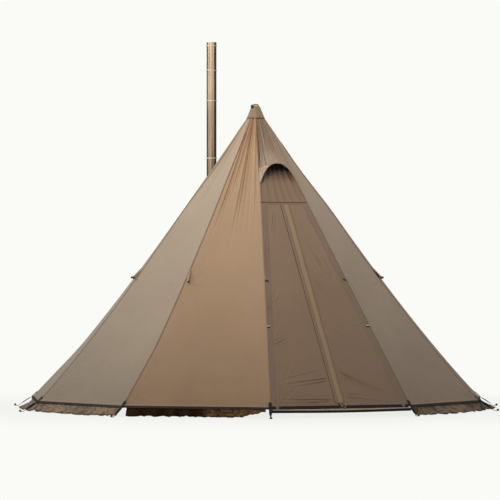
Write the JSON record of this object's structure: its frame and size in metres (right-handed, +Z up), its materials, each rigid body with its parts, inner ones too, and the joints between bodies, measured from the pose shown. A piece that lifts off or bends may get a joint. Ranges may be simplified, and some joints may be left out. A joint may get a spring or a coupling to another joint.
{
  "type": "tent",
  "caption": "Ten-sided pyramid tent with a centre pole, a zipped two-leaf door under a storm flap, a hooded vent, skirts and a box stove whose pipe leaves through the rear wall.",
  "frame": {"origin": "middle of the centre pole's foot, on the ground", "axes": "+Z up, the door faces -Y turned a little towards +X"},
  "size_m": [3.889, 3.904, 2.95],
  "materials": {
    "canopy": "matt coated cloth",
    "door": "matt coated cloth",
    "binding": "woven tape",
    "webbing": "woven webbing",
    "skirt": "thin crumpled cloth",
    "shaded_skirt": "thin crumpled cloth",
    "black": "moulded",
    "aluminium": "satin tube",
    "rubber": "matt",
    "jack": "coated glass cloth",
    "titanium": "rolled titanium foil, heat tinted",
    "steel": "satin"
  },
  "bodies": {
    "shelter": {"apex_cap": "canopy", "apex_loop": "binding", "apex_toggle": "black", "door_frame": "door", "flue_collar": "steel", "head_panel": "canopy", "hem_webbing": "webbing", "hood_binding": "binding", "jack_patch": "jack", "jack_sleeve": "rubber", "peg_strap_0": "webbing", "peg_strap_1": "webbing", "peg_strap_2": "webbing", "peg_strap_3": "webbing", "peg_strap_4": "webbing", "peg_strap_5": "webbing", "peg_strap_6": "webbing", "peg_strap_7": "webbing", "peg_strap_8": "webbing", "peg_strap_9": "webbing", "pole_cap": "rubber", "pole_foot": "rubber", "pole_section_1": "aluminium", "pole_section_2": "aluminium", "pole_section_3": "aluminium", "sill_strap": "webbing", "skirt_front": "shaded_skirt", "skirt_left": "skirt", "skirt_rear": "skirt", "skirt_right": "skirt", "stove_body": "titanium", "stove_hinge": "steel", "stove_pipe": "titanium", "stove_stand": "steel", "vent_hood": "canopy", "vent_panel": "door", "wall_1": "canopy", "wall_2": "canopy", "wall_3": "canopy", "wall_4": "canopy", "wall_5": "canopy", "wall_6": "canopy", "wall_7": "canopy", "wall_8": "canopy", "wall_9": "canopy"},
    "left_leaf": {"door_left": "door", "door_hem_left": "webbing", "zip_left": "black"},
    "right_leaf": {"door_right": "door", "door_hem_right": "webbing", "zip_right": "black"},
    "flap": {"storm_flap": "canopy", "flap_hook": "binding"},
    "slider": {"zip_slider": "black"},
    "puller": {"zip_pull": "black"},
    "left_toggle": {"toggle_left": "black"},
    "right_toggle": {"toggle_right": "black"},
    "stove_door": {"stove_door": "titanium"},
    "dial": {"air_dial": "steel"},
    "flue_damper": {"damper": "steel"}
  },
  "joints": [
    {"name": "door_left_swing", "type": "hinge", "parent": "shelter", "child": "left_leaf", "pos_m": [0.15668, -1.80934, 0.07178], "axis": [0.0352, -0.6112, -0.7907], "range_deg": [0, 150]},
    {"name": "door_right_swing", "type": "hinge", "parent": "shelter", "child": "right_leaf", "pos_m": [1.11688, -1.43207, 0.07178], "axis": [-0.3902, 0.4717, 0.7907], "range_deg": [0, 150]},
    {"name": "storm_flap_fold", "type": "hinge", "parent": "left_leaf", "child": "flap", "pos_m": [0.60044, -1.61436, 0.10732], "axis": [0.2167, -0.5515, -0.8055], "range_deg": [0, 170]},
    {"name": "zip_slide", "type": "slide", "parent": "left_leaf", "child": "slider", "axis": [-0.2167, 0.5515, 0.8055], "range_m": [0, 1.862]},
    {"name": "zip_pull_turn", "type": "hinge", "parent": "slider", "child": "puller", "pos_m": [0.6318, -1.60802, 0.0903], "axis": [0.2946, -0.7497, 0.5926], "range_deg": [-80, 80]},
    {"name": "toggle_left_turn", "type": "hinge", "parent": "shelter", "child": "left_toggle", "pos_m": [0.09442, -1.357, 0.675], "axis": [0.2946, -0.7497, 0.5926], "range_deg": [-90, 90]},
    {"name": "toggle_right_turn", "type": "hinge", "parent": "shelter", "child": "right_toggle", "pos_m": [0.85457, -1.05834, 0.675], "axis": [0.2946, -0.7497, 0.5926], "range_deg": [-90, 90]},
    {"name": "stove_door_swing", "type": "hinge", "parent": "shelter", "child": "stove_door", "pos_m": [-0.44903, 0.46586, 0.3], "axis": [0, 0, -1], "range_deg": [0, 110]},
    {"name": "air_dial_turn", "type": "hinge", "parent": "stove_door", "child": "dial", "pos_m": [-0.35923, 0.46806, 0.272], "axis": [0, -1, 0], "range_deg": [0, 60]},
    {"name": "damper_turn", "type": "hinge", "parent": "shelter", "child": "flue_damper", "pos_m": [-0.35923, 0.77036, 0.62], "axis": [1, 0, 0], "range_deg": [0, 90]}
  ],
  "couplings": [
    {"joint": "door_right_swing", "follows": "door_left_swing", "ratio": 1}
  ]
}
